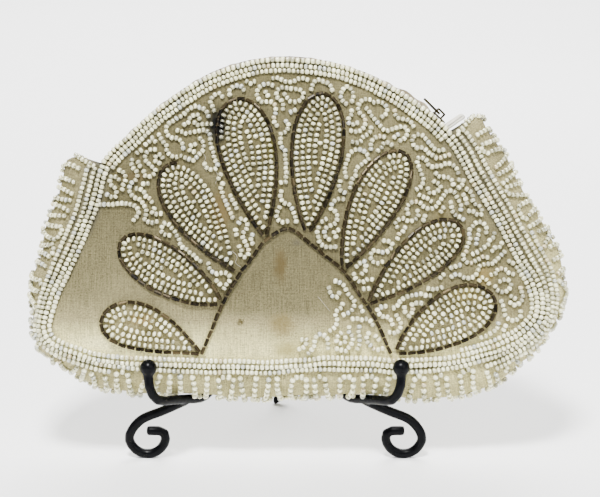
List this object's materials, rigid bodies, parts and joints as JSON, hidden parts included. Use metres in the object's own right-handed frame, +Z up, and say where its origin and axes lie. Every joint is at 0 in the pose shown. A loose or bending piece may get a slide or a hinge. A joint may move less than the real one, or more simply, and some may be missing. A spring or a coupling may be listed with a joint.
{
  "type": "beaded evening purse on a wire easel",
  "caption": "Half-moon ivory satin evening purse with white seed beads, a fan of bugle-edged petals and a zip along its arc, leaning on a black wire easel.",
  "frame": {"origin": "middle of the bounding box, at the level that the easel stands on", "axes": "+X to the right along the purse seen from the front, -Y the decorated front, +Z up"},
  "size_m": [0.216, 0.083, 0.1603],
  "materials": {
    "ivory_satin": "aged ivory satin with brown, rust and black stains",
    "seed_bead": "opaque chalk-white seed beads, glossy, a few of them cream or orange",
    "bugle_bead": "dark bronze-grey metallic bugle beads, glossy",
    "zip_tape": "woven ivory cotton tape",
    "aged_brass": "tarnished dark olive brass",
    "black_iron": "satin black paint"
  },
  "bodies": {
    "purse": {"front_panel": "ivory_satin", "back_panel": "ivory_satin", "gusset": "ivory_satin", "zip_tape_front": "zip_tape", "zip_tape_back": "zip_tape", "zip_end_tab": "zip_tape", "zip_chain": "aged_brass", "zip_slider": "aged_brass", "petal_outline_1": "bugle_bead", "petal_outline_2": "bugle_bead", "petal_outline_3": "bugle_bead", "petal_outline_4": "bugle_bead", "petal_outline_5": "bugle_bead", "petal_outline_6": "bugle_bead", "petal_outline_7": "bugle_bead", "petal_outline_8": "bugle_bead", "fan_edge": "bugle_bead", "stand_leg_left": "black_iron", "stand_leg_right": "black_iron", "stand_back_leg": "black_iron"},
    "pull": {"zip_pull": "aged_brass"}
  },
  "joints": [
    {"name": "pull_hinge", "type": "hinge", "parent": "purse", "child": "pull", "pos_m": [0.0576, 0.00621, 0.13759], "axis": [0.0466, 0.9853, -0.1646], "range_deg": [0, 130]}
  ]
}
